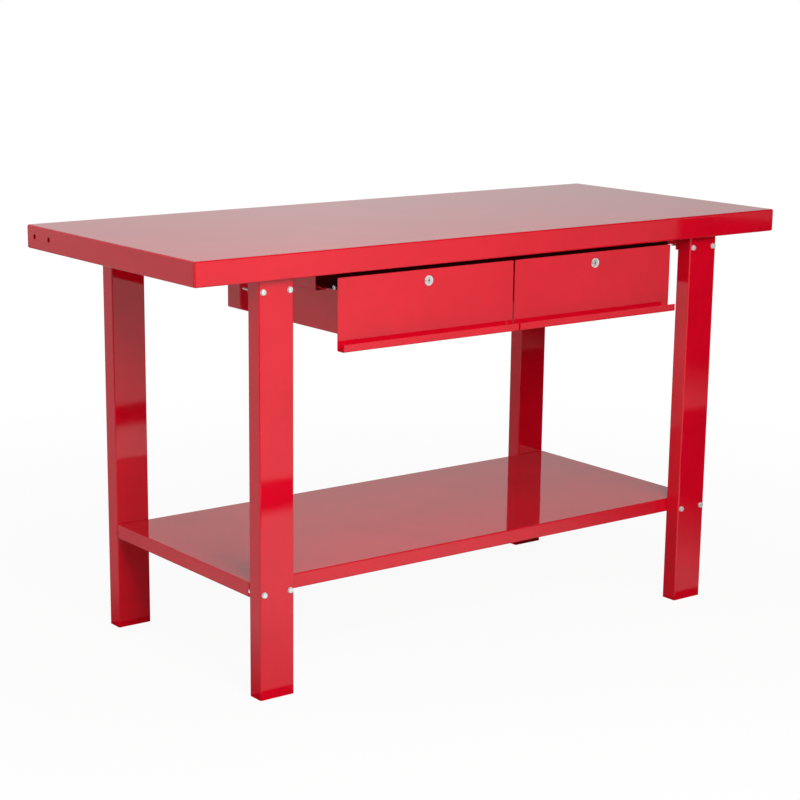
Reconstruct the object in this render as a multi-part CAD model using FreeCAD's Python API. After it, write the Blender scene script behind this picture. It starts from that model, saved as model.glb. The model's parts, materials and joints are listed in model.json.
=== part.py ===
import FreeCAD, Part
import math
import os

Vector = FreeCAD.Vector

# Steel workbench with a folded worktop, a lower shelf on four channel legs and
# two drawers that hang side by side under the front edge.
# Millimetres. +Z is up, the front faces -Y, and the origin is at floor level
# under the middle of the bench, drawer pulls included.

# Worktop: a folded pan, open below.
top_width = 1500.0
top_depth = 645.0
bench_height = 870.0
top_flange = 48.0
top_sheet = 2.0
top_return = 18.0
top_fold = 4.0
top_seam = 0.8
end_hole_diameter = 11.0
end_hole_spacing = 60.0
end_hole_rear_inset = 32.5
end_hole_drop = 22.0

# Legs: lipped channels with closed faces to the front and open backs.
leg_width = 78.0
leg_depth = 38.0
leg_sheet = 2.0
leg_lip = 20.0
leg_fold = 3.0
leg_end_inset = 153.0
front_leg_setback = 24.0
rear_leg_setback = 34.0

# Angle brackets that join each leg to the underside of the worktop.
bracket_sheet = 3.0
bracket_drop = 32.0
bracket_flange = 25.0
bracket_overhang = 30.0
bracket_side_inset = 2.0
bracket_notch = 14.0
bracket_notch_gap = 3.0

# Lower shelf: a folded tray, open below, between the front and rear legs.
shelf_height = 230.0
shelf_flange = 30.0
shelf_sheet = 1.5
shelf_return = 11.0
shelf_fold = 3.0
shelf_seam = 0.8

# Keeper bar for the locks, welded upright behind the front return.
keeper_sheet = 2.0
keeper_drop = 10.5
keeper_height = 25.0
keeper_overhang = 10.0

# Hat sections welded under the worktop and the shelf.
hat_sheet = 1.5
hat_crown = 40.0
hat_flange = 20.0
hat_fold = 1.5
hat_end_gap = 2.0
top_hat_depth = 35.0
shelf_hat_depth = 18.0
front_hat_setback = 157.5
rear_hat_inset = 32.5

# Drawers. The fronts are flush with the front of the worktop.
front_height = 140.0
front_sheet = 1.5
front_top_gap = 7.0
front_middle_gap = 4.0
front_leg_gap = 84.0
front_corner = 2.5
pull_reach = 21.0
pull_height = 15.0
pull_fold = 1.5
body_sheet = 1.2
body_side_inset = 45.5
body_rise = 19.0
body_height = 84.5
body_fold = 1.5
body_rear_space = 190.0
body_front_lip = 15.0
slide_flange = 10.0
ear_length = 89.0
ear_gap = 1.0
ear_corner = 2.0
ramp_length = 28.0
ramp_rise = 0.5

# Corner brackets that tie each drawer front to the drawer body.
corner_sheet = 1.5
corner_height = 30.0
corner_tab = 24.0
corner_tail_gap = 0.5
corner_bolt_inset = 20.0
corner_bolt_drop = 26.0

# Drawer rails: folded hangers that carry the slide flanges.
rail_sheet = 2.0
rail_fold = 1.0
rail_front_setback = 120.0
rail_hanger = 24.0
rail_side_gap = 1.0
rail_wall_gap = 2.0
rail_kicker_gap = 0.6
rail_end_gap = 0.5
glide_thickness = 2.7
glide_length = 25.0
glide_gap = 0.3
glide_side_gap = 1.0
glide_edge = 0.6

# Cam lock in each drawer front.
lock_drop = 22.5
lock_face_diameter = 20.5
lock_face_height = 2.5
lock_face_round = 1.0
lock_barrel_diameter = 16.0
lock_hole_gap = 0.1
lock_wall = 2.4
plug_head_diameter = 12.6
plug_head_depth = 2.0
plug_gap = 0.05
plug_end_gap = 0.3
keyhole_width = 1.8
keyhole_height = 7.0
keyhole_depth = 4.0
lock_nut_flats = 20.0
lock_nut_height = 4.0
cam_sheet = 2.0
cam_keeper_gap = 1.0
cam_reach = 36.0
cam_hub_radius = 8.0
cam_tip_radius = 6.0
cam_square = 6.5
cam_square_gap = 0.05
cam_screw_diameter = 3.0
cam_screw_length = 8.0
cam_screw_head = 9.6
cam_screw_head_height = 2.2

# Fasteners. Flats and head heights belong to each thread size.
leg_bolt_diameter = 6.0
leg_bolt_flats = 10.0
leg_bolt_head = 4.2
leg_bolt_washer = 12.2
leg_bolt_hole = 7.0
leg_bolt_spacing = 60.0
top_bolt_drop = 24.0
top_bolt_length = 65.0
rear_bolt_length = 16.0
shelf_bolt_drop = 17.0
shelf_bolt_length = 50.0
leg_nut_height = 5.0
washer_height = 1.2
rail_screw_diameter = 5.0
rail_screw_flats = 8.0
rail_screw_head = 3.5
rail_screw_length = 10.0
rail_nut_height = 4.0
corner_bolt_diameter = 5.0
corner_bolt_flats = 8.0
corner_bolt_head = 3.5
corner_bolt_length = 10.0
corner_nut_height = 4.0
small_hole_gap = 0.3
head_chamfer = 0.8
recess_share = 0.5
recess_depth = 0.8

# Places worked out from the sizes above.
top_front = (pull_reach - top_depth) / 2
top_rear = top_front + top_depth
top_underside = bench_height - top_sheet
flange_bottom = bench_height - top_flange
leg_outer = top_width / 2 - leg_end_inset
leg_middle = leg_outer - leg_width / 2
front_leg_face = top_front + front_leg_setback
front_leg_back = front_leg_face + leg_depth
rear_leg_back = top_rear - rear_leg_setback
rear_leg_face = rear_leg_back - leg_depth
top_bolt_height = flange_bottom - top_bolt_drop
shelf_bolt_height = shelf_height - shelf_bolt_drop
hat_bottom = top_underside - top_hat_depth

front_width = leg_outer - leg_width - front_leg_gap - front_middle_gap / 2
drawer_middle = (front_width + front_middle_gap) / 2
front_top = flange_bottom - front_top_gap
front_bottom = front_top - front_height
front_back = top_front + front_sheet
body_half = front_width / 2 - body_side_inset
body_bottom = front_bottom + body_rise
body_top = body_bottom + body_height
body_rear = top_rear - body_rear_space
rail_front = top_front + rail_front_setback
rail_rear = body_rear + rail_end_gap + rail_sheet
web_inner = body_half + slide_flange + rail_side_gap
web_outer = web_inner + rail_sheet
lip_inner = body_half + rail_wall_gap
flange_under = body_top - body_sheet
lip_top = flange_under - glide_thickness - glide_gap
lip_bottom = lip_top - rail_sheet
kicker_bottom = body_top + rail_kicker_gap
kicker_top = kicker_bottom + rail_sheet
front_hat_y = top_front + front_hat_setback
rear_hat_y = body_rear - rear_hat_inset
screw_x = web_outer + rail_hanger / 2
ear_rear = front_back + ear_length
keeper_front = top_front + top_return
keeper_bottom = flange_bottom - keeper_drop
ear_top = keeper_bottom - ear_gap
corner_face = body_half + corner_sheet
corner_bolt_y = ear_rear - corner_bolt_inset
corner_bolt_z = ear_top - corner_bolt_drop
lock_height = front_top - lock_drop
cam_front = keeper_front + keeper_sheet + cam_keeper_gap
plug_radius = lock_barrel_diameter / 2 - lock_wall


# --- Geometry helpers -------------------------------------------------------

def point_on(axis, u, v, along):
    # The section's own u and v, and the distance along the axis, as a place.
    if axis == "x":
        return Vector(along, u, v)
    if axis == "y":
        return Vector(u, along, v)
    return Vector(u, v, along)


def section_solid(stops, axis, start, end):
    # A closed outline of straight runs and three-point arcs, drawn out from
    # start to end along the axis.
    def place(stop):
        return point_on(axis, stop.x, stop.y, start)

    edges = []
    for here, ahead in zip(stops, stops[1:] + stops[:1]):
        if len(here) == 3:
            edges.append(Part.Arc(*[place(p) for p in here]).toShape())
        if here[-1].distanceToPoint(ahead[0]) > 1e-6:
            edges.append(Part.makeLine(place(here[-1]), place(ahead[0])))
    face = Part.Face(Part.Wire(edges))
    return face.extrude(point_on(axis, 0, 0, end) - point_on(axis, 0, 0, start))


def box_between(low, high):
    size = Vector(*high) - Vector(*low)
    return Part.makeBox(size.x, size.y, size.z, Vector(*low))


def left_normals(points):
    normals = []
    for here, ahead in zip(points, points[1:]):
        run = (ahead - here).normalize()
        normals.append(Vector(-run.y, run.x, 0))
    return normals


def folded_sheet(outline, sheet, fold, axis, start, end):
    # Sheet metal whose one face follows the outline; its thickness lies to
    # the left of the way the outline runs. Every bend has the inner radius.
    points = [Vector(u, v, 0) for u, v in outline]
    normals = left_normals(points)
    near = [[points[0]]]
    far = [[points[0] + normals[0] * sheet]]
    for corner, before, after in zip(points[1:-1], normals, normals[1:]):
        turns_left = before.cross(after).z > 0
        spread = (before + after) / (1 + before.dot(after))
        middle = (before + after).normalize()
        if turns_left:
            centre = corner + spread * (fold + sheet)
            near.append([centre - n * (fold + sheet) for n in (before, middle, after)])
            far.append([centre - n * fold for n in (before, middle, after)])
        else:
            centre = corner - spread * fold
            near.append([centre + n * fold for n in (before, middle, after)])
            far.append([centre + n * (fold + sheet) for n in (before, middle, after)])
    near.append([points[-1]])
    far.append([points[-1] + normals[-1] * sheet])
    back = [list(reversed(stop)) for stop in reversed(far)]
    return section_solid(near + back, axis, start, end)


def plate(outline, axis, start, end):
    # A flat plate; each corner is (u, v) or (u, v, radius).
    corners = [Vector(c[0], c[1], 0) for c in outline]
    radii = [c[2] if len(c) == 3 else 0 for c in outline]
    stops = []
    for i, corner in enumerate(corners):
        if not radii[i]:
            stops.append([corner])
            continue
        to_last = (corners[i - 1] - corner).normalize()
        to_next = (corners[(i + 1) % len(corners)] - corner).normalize()
        half_angle = to_last.getAngle(to_next) / 2
        inward = (to_last + to_next).normalize()
        trim = radii[i] / math.tan(half_angle)
        centre = corner + inward * (radii[i] / math.sin(half_angle))
        stops.append([corner + to_last * trim, centre - inward * radii[i], corner + to_next * trim])
    return section_solid(stops, axis, start, end)


def aimed(shape, place, direction):
    # Turns a shape made along +Z to point the other way, and puts it in place.
    copy = shape.copy()
    turn = FreeCAD.Rotation(Vector(0, 0, 1), Vector(*direction))
    copy.Placement = FreeCAD.Placement(Vector(*place), turn)
    return copy


def drilled(shape, places, direction, diameter, depth):
    # Round holes of the given depth, half to each side of each place.
    for place in places:
        drill = Part.makeCylinder(diameter / 2, depth, Vector(0, 0, -depth / 2))
        shape = shape.cut(aimed(drill, place, direction))
    return shape


def rounded_box(low, high, radius):
    box = box_between(low, high)
    return box.makeFillet(radius, box.Edges)


def folded_pan(width, front, rear, top, flange, sheet, lip, fold, seam):
    # A tray turned over: a flat top, four flanges and a return along each.
    half = width / 2
    inner_fold = fold - sheet
    pan = rounded_box((-half, front, top - flange), (half, rear, top), fold)
    pan = pan.cut(rounded_box((-half + sheet, front + sheet, top - flange + sheet),
                              (half - sheet, rear - sheet, top - sheet), inner_fold))
    pan = pan.cut(box_between((-half + lip, front + lip, top - flange - sheet),
                              (half - lip, rear - lip, top - flange + 2 * sheet)))
    # An open seam beside each corner, where neighbouring flanges meet.
    seam_top = top - fold - sheet
    for x_side in (-1, 1):
        for edge, inward in ((front, 1), (rear, -1)):
            near_x = x_side * (half - lip)
            far_x = x_side * (half + sheet)
            near_y = edge + inward * fold
            far_y = near_y + inward * seam
            pan = pan.cut(box_between((min(near_x, far_x), min(near_y, far_y), top - flange - sheet),
                                      (max(near_x, far_x), max(near_y, far_y), seam_top)))
            end_x = near_x + x_side * seam
            lip_y = edge + inward * (lip + sheet)
            pan = pan.cut(box_between((min(near_x, end_x), min(near_y, lip_y), top - flange - sheet),
                                      (max(near_x, end_x), max(near_y, lip_y), top - flange + 2 * sheet)))
    return pan


def hat_section(length, middle, top, depth):
    # A hat channel along X: flanges up against the sheet, crown at the bottom.
    crown = hat_crown / 2
    brim = crown + hat_flange
    outline = [(middle - brim, top - hat_sheet), (middle - crown + hat_sheet, top - hat_sheet),
               (middle - crown + hat_sheet, top - depth), (middle + crown - hat_sheet, top - depth),
               (middle + crown - hat_sheet, top - hat_sheet), (middle + brim, top - hat_sheet)]
    return folded_sheet(outline, hat_sheet, hat_fold, "x", -length / 2, length / 2)


def hex_prism(flats, height):
    corner = flats / math.sqrt(3)
    points = [Vector(corner * math.cos(math.radians(a)), corner * math.sin(math.radians(a)), 0)
              for a in range(30, 391, 60)]
    return Part.Face(Part.makePolygon(points)).extrude(Vector(0, 0, height))


def chamfered_disc(radius, height):
    # A disc from z = 0 down to -height with its lower rim bevelled.
    low = Vector(0, 0, -height)
    cone = Part.makeCone(radius - head_chamfer, radius, head_chamfer, low)
    rest = Part.makeCylinder(radius, height - head_chamfer, low + Vector(0, 0, head_chamfer))
    return cone.fuse(rest)


def hex_head(flats, height):
    # A bevelled hexagon below z = 0.
    prism = hex_prism(flats, height)
    prism.translate(Vector(0, 0, -height))
    return prism.common(chamfered_disc(flats / math.sqrt(3), height))


def hex_bolt(diameter, length, flats, head, washer):
    # Head below z = 0 with its pressed washer face, shank along +Z.
    bolt = hex_head(flats, head)
    if washer:
        bolt = bolt.fuse(Part.makeCylinder(washer / 2, washer_height, Vector(0, 0, -washer_height)))
    recess_radius = flats * recess_share / 2
    bolt = bolt.cut(Part.makeCylinder(recess_radius, recess_depth, Vector(0, 0, -head)))
    return bolt.fuse(Part.makeCylinder(diameter / 2, length)).removeSplitter()


def hex_nut(diameter, flats, height):
    # A nut standing on z = 0 with a bevelled far end.
    nut = aimed(hex_head(flats, height), (0, 0, 0), (0, 0, -1))
    return nut.cut(Part.makeCylinder(diameter / 2, height)).removeSplitter()


def set_of(shape, places, direction):
    # The same loose piece at many places, as separate solids.
    return Part.makeCompound([aimed(shape, place, direction) for place in places])


# --- Fastener places --------------------------------------------------------

def leg_bolt_places(y, z):
    return [(side * leg_middle + offset * leg_bolt_spacing / 2, y, z)
            for side in (-1, 1) for offset in (-1, 1)]


def rail_screw_places(z):
    return [(middle + side * screw_x, y, z)
            for middle in (-drawer_middle, drawer_middle) for side in (-1, 1)
            for y in (front_hat_y, rear_hat_y)]


def corner_bolt_places(side):
    return [(side * body_half, corner_bolt_y, corner_bolt_z)]


# --- Worktop, stiffeners, shelf ---------------------------------------------

def make_worktop():
    pan = folded_pan(top_width, top_front, top_rear, bench_height, top_flange,
                     top_sheet, top_return, top_fold, top_seam)
    rear_hole = top_rear - end_hole_rear_inset
    holes = [(side * (top_width - top_sheet) / 2, y, bench_height - end_hole_drop)
             for side in (-1, 1) for y in (rear_hole, rear_hole - end_hole_spacing)]
    return drilled(pan, holes, (1, 0, 0), end_hole_diameter, 2 * top_sheet)


def make_top_stiffener(y):
    length = top_width - 2 * (top_return + hat_end_gap)
    hat = hat_section(length, y, top_underside, top_hat_depth)
    holes = [place for place in rail_screw_places(hat_bottom) if place[1] == y]
    return drilled(hat, holes, (0, 0, 1), rail_screw_diameter + small_hole_gap, 4 * hat_sheet)


def make_keeper_bar():
    half = front_width + front_middle_gap / 2 + keeper_overhang
    return box_between((-half, keeper_front, keeper_bottom),
                       (half, keeper_front + keeper_sheet, keeper_bottom + keeper_height))


def make_shelf():
    shelf = folded_pan(2 * leg_outer, front_leg_back, rear_leg_face, shelf_height, shelf_flange,
                       shelf_sheet, shelf_return, shelf_fold, shelf_seam)
    for y in (front_leg_back, rear_leg_face):
        places = leg_bolt_places(y, shelf_bolt_height)
        shelf = drilled(shelf, places, (0, 1, 0), leg_bolt_hole, 4 * shelf_sheet)
    return shelf


def make_shelf_stiffener():
    length = 2 * (leg_outer - shelf_return - hat_end_gap)
    middle = (front_leg_back + rear_leg_face) / 2
    return hat_section(length, middle, shelf_height - shelf_sheet, shelf_hat_depth)


# --- Legs and their brackets ------------------------------------------------

def make_leg(side, face, back):
    # The closed face is at `face`; the lips are at `back`.
    middle = side * leg_middle
    half = leg_width / 2
    lip = half - leg_lip
    outline = [(middle + lip, back), (middle + half, back), (middle + half, face),
               (middle - half, face), (middle - half, back), (middle - lip, back)]
    leg = folded_sheet(list(reversed(outline)), leg_sheet, leg_fold - leg_sheet, "z", 0, top_underside)
    places = [(x, y, z) for x, y, z in leg_bolt_places(face, shelf_bolt_height) if x * side > 0]
    leg = drilled(leg, places, (0, 1, 0), leg_bolt_hole, 3 * leg_depth)
    return leg


def with_top_holes(leg, side, y, depth):
    places = [place for place in leg_bolt_places(y, top_bolt_height) if place[0] * side > 0]
    return drilled(leg, places, (0, 1, 0), leg_bolt_hole, depth)


def make_front_leg(side):
    # Long bolts pass right through the front legs.
    leg = make_leg(side, front_leg_face, front_leg_back)
    return with_top_holes(leg, side, front_leg_face, 3 * leg_depth)


def make_rear_leg(side):
    # Short bolts hold the rear legs by their lips, so their faces stay whole.
    leg = make_leg(side, rear_leg_face, rear_leg_back)
    return with_top_holes(leg, side, rear_leg_back, leg_depth)


def make_bracket(side, back):
    # An angle: one leaf against the leg's lips, the other under the worktop.
    upright = back + bracket_sheet
    flange_under_side = top_underside - bracket_sheet
    outline = [(upright, flange_bottom - bracket_drop), (upright, flange_under_side),
               (upright + bracket_flange, flange_under_side)]
    outer = leg_outer - bracket_side_inset
    inner = leg_outer - leg_width - bracket_overhang
    ends = sorted((side * outer, side * inner))
    bracket = folded_sheet(outline, bracket_sheet, bracket_sheet, "x", ends[0], ends[1])
    # The part beside the leg is cut short, clear of the bolt ends.
    beside = sorted((side * (leg_outer - leg_width - bracket_notch_gap), side * (inner - bracket_sheet)))
    notch_bottom = flange_bottom - bracket_drop - bracket_sheet
    notch_top = flange_bottom - bracket_drop + bracket_notch
    bracket = bracket.cut(box_between((beside[0], back - bracket_sheet, notch_bottom),
                                      (beside[1], back + 2 * bracket_sheet, notch_top)))
    places = [place for place in leg_bolt_places(back, top_bolt_height) if place[0] * side > 0]
    return drilled(bracket, places, (0, 1, 0), leg_bolt_hole, 4 * bracket_sheet)


# --- Drawers, modelled about their own middle -------------------------------

def make_drawer_front():
    lip_back = top_front - pull_reach + front_sheet
    outline = [(top_front, front_top), (top_front, front_bottom + front_sheet),
               (lip_back, front_bottom + front_sheet), (lip_back, front_bottom + pull_height)]
    half = front_width / 2
    front = folded_sheet(outline, front_sheet, pull_fold, "x", -half, half)
    # The two free corners at the top are rounded off.
    low = front_bottom - front_sheet
    trim = plate([(-half, low), (half, low), (half, front_top, front_corner),
                  (-half, front_top, front_corner)], "y", lip_back - pull_reach, front_back + pull_reach)
    front = front.common(trim)
    hole = [(0, front_back, lock_height)]
    return drilled(front, hole, (0, 1, 0), lock_barrel_diameter + 2 * lock_hole_gap, 4 * front_sheet)


def make_ear():
    # The side wall's raised front end, with a ramp down to the slide flange.
    foot = body_top - 2 * slide_flange
    ramp_top = body_top + ramp_rise
    outline = [(front_back, foot), (front_back, ear_top), (ear_rear, ear_top, ear_corner),
               (ear_rear, ramp_top), (rail_front - ramp_length, ramp_top), (rail_front, body_top),
               (rail_front, foot)]
    return plate(outline, "x", body_half - body_sheet, body_half)


def make_drawer_body():
    inner = body_half - body_sheet
    rim = body_half + slide_flange
    floor = body_bottom + body_sheet
    outline = [(rim, body_top), (inner, body_top), (inner, floor),
               (-inner, floor), (-inner, body_top), (-rim, body_top)]
    body = folded_sheet(outline, body_sheet, body_fold, "y", front_back, body_rear)
    # The slide flanges stop where the rails start; the walls rise instead.
    bend = body_top - body_sheet - body_fold
    for side in (-1, 1):
        low_x, high_x = sorted((side * (inner - body_sheet), side * (rim + body_sheet)))
        low = (low_x, front_back - body_sheet, bend)
        body = body.cut(box_between(low, (high_x, rail_front, body_top + body_sheet)))
    ear = make_ear()
    body = body.fuse([ear, ear.mirror(Vector(0, 0, 0), Vector(1, 0, 0))])
    foot = floor - body_sheet / 2
    rear_wall = box_between((-inner, body_rear - body_sheet, foot), (inner, body_rear, body_top))
    front_lip = box_between((-inner + body_fold, front_back, foot),
                            (inner - body_fold, front_back + body_sheet, floor + body_front_lip))
    body = body.fuse([rear_wall, front_lip]).removeSplitter()
    hole = corner_bolt_diameter + small_hole_gap
    for side in (-1, 1):
        body = drilled(body, corner_bolt_places(side), (1, 0, 0), hole, 4 * body_sheet)
    return body


def make_corner_brackets():
    # An angle outside each front corner, welded behind the front, bolted to the ear.
    tail = ear_rear - corner_tail_gap
    top = ear_top - corner_tail_gap / 2
    outline = [(body_half + corner_tab, front_back + corner_sheet),
               (corner_face, front_back + corner_sheet), (corner_face, tail)]
    angle = folded_sheet(outline, corner_sheet, corner_sheet, "z", top - corner_height, top)
    hole = corner_bolt_diameter + small_hole_gap
    angle = drilled(angle, corner_bolt_places(1), (1, 0, 0), hole, 8 * corner_sheet)
    return Part.makeCompound([angle, angle.mirror(Vector(0, 0, 0), Vector(1, 0, 0))])


def make_corner_bolts():
    bolt = hex_bolt(corner_bolt_diameter, corner_bolt_length, corner_bolt_flats, corner_bolt_head, 0)
    return Part.makeCompound([aimed(bolt, (side * corner_face, corner_bolt_y, corner_bolt_z), (-side, 0, 0))
                              for side in (-1, 1)])


def make_corner_nuts():
    nut = hex_nut(corner_bolt_diameter, corner_bolt_flats, corner_nut_height)
    seat = body_half - body_sheet
    return Part.makeCompound([aimed(nut, (side * seat, corner_bolt_y, corner_bolt_z), (-side, 0, 0))
                              for side in (-1, 1)])


def make_glide(near_x, far_x, start, bottom):
    block = box_between((near_x, start, bottom), (far_x, start + glide_length, bottom + glide_thickness))
    edges = [edge for edge in block.Edges if abs(edge.Vertexes[0].Y - edge.Vertexes[-1].Y) < 1e-6]
    return block.makeFillet(glide_edge, edges)


def make_drawer_glides():
    # Blocks under the rear ends of the slide flanges.
    glide = make_glide(lip_inner + glide_side_gap, body_half + slide_flange - glide_side_gap,
                       body_rear - glide_length, flange_under - glide_thickness)
    return Part.makeCompound([glide, glide.mirror(Vector(0, 0, 0), Vector(1, 0, 0))])


# --- Rails ------------------------------------------------------------------

def make_rail():
    # The rail on the drawer's +X side: hanger, web, lower lip and kicker.
    hanger_under = hat_bottom - rail_sheet
    outline = [(lip_inner, lip_bottom), (web_outer, lip_bottom), (web_outer, hanger_under),
               (web_outer + rail_hanger, hanger_under)]
    rail = folded_sheet(outline, rail_sheet, rail_fold, "y", rail_front, rail_rear)
    web_middle = (web_inner + web_outer) / 2
    kicker = box_between((lip_inner, rail_front, kicker_bottom), (web_middle, rail_rear, kicker_top))
    end_tab = box_between((lip_inner, rail_rear - rail_sheet, lip_bottom + rail_sheet / 2),
                          (web_middle, rail_rear, kicker_top))
    rail = rail.fuse([kicker, end_tab]).removeSplitter()
    holes = [(screw_x, y, hanger_under) for y in (front_hat_y, rear_hat_y)]
    return drilled(rail, holes, (0, 0, 1), rail_screw_diameter + small_hole_gap, 4 * rail_sheet)


def make_rail_glides():
    # Blocks on the front ends of the rails' lower lips, also the open stops.
    glide = make_glide(lip_inner + glide_side_gap, web_inner - glide_side_gap, rail_front, lip_top)
    pair = Part.makeCompound([glide, glide.mirror(Vector(0, 0, 0), Vector(1, 0, 0))])
    return Part.makeCompound([moved(pair, -drawer_middle), moved(pair, drawer_middle)])


# --- Lock, about the drawer's middle ----------------------------------------

def turned(radii_and_places):
    # A solid of revolution about the lock's axis, from (radius, y) corners.
    points = [Vector(radius, y, lock_height) for radius, y in radii_and_places]
    face = Part.Face(Part.makePolygon(points + points[:1]))
    return face.revolve(Vector(0, 0, lock_height), Vector(0, 1, 0), 360)


def make_lock_barrel():
    face = top_front - lock_face_height
    face_radius = lock_face_diameter / 2
    barrel_radius = lock_barrel_diameter / 2
    rear = cam_front - plug_end_gap
    bore = plug_radius + plug_gap
    head_bore = plug_head_diameter / 2 + plug_gap
    shoulder = face + plug_head_depth + plug_end_gap
    return turned([(head_bore, face), (face_radius - lock_face_round, face),
                   (face_radius, face + lock_face_round), (face_radius, top_front),
                   (barrel_radius, top_front), (barrel_radius, rear),
                   (bore, rear), (bore, shoulder), (head_bore, shoulder)])


def make_lock_nut():
    nut = hex_nut(lock_barrel_diameter, lock_nut_flats, lock_nut_height)
    return aimed(nut, (0, front_back, lock_height), (0, 1, 0))


def cam_square_block(width, start, end):
    half = width / 2
    return box_between((-half, start, lock_height - half), (half, end, lock_height + half))


def cam_disc(x, radius):
    return Part.makeCylinder(radius, cam_sheet, Vector(x, cam_front, lock_height), Vector(0, 1, 0))


def make_lock_plug():
    face = top_front - lock_face_height
    head = plug_head_diameter / 2
    neck = face + plug_head_depth
    plug = turned([(0, face), (head, face), (head, neck), (plug_radius, neck),
                   (plug_radius, cam_front), (0, cam_front)])
    plug = plug.fuse(cam_square_block(cam_square, cam_front - cam_sheet, cam_front + cam_sheet))
    keyhole = box_between((-keyhole_width / 2, face - keyhole_width, lock_height - keyhole_height / 2),
                          (keyhole_width / 2, face + keyhole_depth, lock_height + keyhole_height / 2))
    plug = plug.cut(keyhole)
    screw_end = cam_front + cam_sheet
    return drilled(plug, [(0, screw_end, lock_height)], (0, 1, 0), cam_screw_diameter, 2 * cam_screw_length)


def make_lock_cam():
    # A tongue that lies level when unlocked and stands up behind the worktop's
    # front return when locked.
    tip = cam_reach - cam_tip_radius
    rear = cam_front + cam_sheet
    outline = [(0, lock_height - cam_hub_radius), (0, lock_height + cam_hub_radius),
               (-tip, lock_height + cam_tip_radius), (-tip, lock_height - cam_tip_radius)]
    tongue = plate(outline, "y", cam_front, rear)
    cam = tongue.fuse([cam_disc(0, cam_hub_radius), cam_disc(-tip, cam_tip_radius)])
    square = cam_square_block(cam_square + 2 * cam_square_gap, cam_front - cam_sheet, rear + cam_sheet)
    return cam.cut(square).removeSplitter()


def make_lock_screw():
    rear = cam_front + cam_sheet
    head = Part.makeCylinder(cam_screw_head / 2, cam_screw_head_height)
    slot = box_between((-cam_screw_head, -head_chamfer / 2, cam_screw_head_height - head_chamfer),
                       (cam_screw_head, head_chamfer / 2, cam_screw_head_height + head_chamfer))
    shank = Part.makeCylinder(cam_screw_diameter / 2, cam_screw_length, Vector(0, 0, -cam_screw_length))
    return aimed(head.cut(slot).fuse(shank), (0, rear, lock_height), (0, 1, 0))


# --- Leg, shelf and rail fasteners ------------------------------------------

def make_leg_bolt(length):
    return hex_bolt(leg_bolt_diameter, length, leg_bolt_flats, leg_bolt_head, leg_bolt_washer)


def make_leg_nut():
    return hex_nut(leg_bolt_diameter, leg_bolt_flats, leg_nut_height)


def make_top_bolts():
    # Long bolts from the front, short ones from behind the rear brackets.
    front_places = leg_bolt_places(front_leg_face, top_bolt_height)
    rear_places = leg_bolt_places(rear_leg_back + bracket_sheet, top_bolt_height)
    front = set_of(make_leg_bolt(top_bolt_length), front_places, (0, 1, 0))
    rear = set_of(make_leg_bolt(rear_bolt_length), rear_places, (0, -1, 0))
    return Part.makeCompound(front.Solids + rear.Solids)


def make_top_nuts():
    nut = make_leg_nut()
    front = set_of(nut, leg_bolt_places(front_leg_back + bracket_sheet, top_bolt_height), (0, 1, 0))
    rear = set_of(nut, leg_bolt_places(rear_leg_back - leg_sheet, top_bolt_height), (0, -1, 0))
    return Part.makeCompound(front.Solids + rear.Solids)


def make_shelf_bolts():
    bolt = make_leg_bolt(shelf_bolt_length)
    front = set_of(bolt, leg_bolt_places(front_leg_face, shelf_bolt_height), (0, 1, 0))
    rear = set_of(bolt, leg_bolt_places(rear_leg_back, shelf_bolt_height), (0, -1, 0))
    return Part.makeCompound(front.Solids + rear.Solids)


def make_shelf_nuts():
    nut = make_leg_nut()
    front = set_of(nut, leg_bolt_places(front_leg_back + shelf_sheet, shelf_bolt_height), (0, 1, 0))
    rear = set_of(nut, leg_bolt_places(rear_leg_face - shelf_sheet, shelf_bolt_height), (0, -1, 0))
    return Part.makeCompound(front.Solids + rear.Solids)


def make_rail_screws():
    screw = hex_bolt(rail_screw_diameter, rail_screw_length, rail_screw_flats, rail_screw_head, 0)
    return set_of(screw, rail_screw_places(hat_bottom - rail_sheet), (0, 0, 1))


def make_rail_nuts():
    nut = hex_nut(rail_screw_diameter, rail_screw_flats, rail_nut_height)
    return set_of(nut, rail_screw_places(hat_bottom + hat_sheet), (0, 0, 1))


# --- Export -----------------------------------------------------------------

def moved(shape, x):
    copy = shape.copy()
    copy.translate(Vector(x, 0, 0))
    return copy


def export(name, shape):
    shape.exportStep("parts/" + name + ".step")
    print(name, len(shape.Solids), "solid(s), valid", shape.isValid())


os.makedirs("parts", exist_ok=True)

export("worktop", make_worktop())
export("top_stiffener_front", make_top_stiffener(front_hat_y))
export("top_stiffener_rear", make_top_stiffener(rear_hat_y))
export("shelf", make_shelf())
export("shelf_stiffener", make_shelf_stiffener())
export("keeper_bar", make_keeper_bar())

for side_name, side in (("left", -1), ("right", 1)):
    export("leg_front_" + side_name, make_front_leg(side))
    export("leg_rear_" + side_name, make_rear_leg(side))
    export("bracket_front_" + side_name, make_bracket(side, front_leg_back))
    export("bracket_rear_" + side_name, make_bracket(side, rear_leg_back))

for name, maker in (("top_bolts", make_top_bolts), ("top_nuts", make_top_nuts),
                      ("shelf_bolts", make_shelf_bolts), ("shelf_nuts", make_shelf_nuts),
                      ("rail_screws", make_rail_screws), ("rail_nuts", make_rail_nuts),
                      ("rail_glides", make_rail_glides)):
    export(name, maker())

rail = make_rail()
mirrored_rail = rail.mirror(Vector(0, 0, 0), Vector(1, 0, 0))
export("rail_left_outer", moved(mirrored_rail, -drawer_middle))
export("rail_left_inner", moved(rail, -drawer_middle))
export("rail_right_inner", moved(mirrored_rail, drawer_middle))
export("rail_right_outer", moved(rail, drawer_middle))

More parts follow.
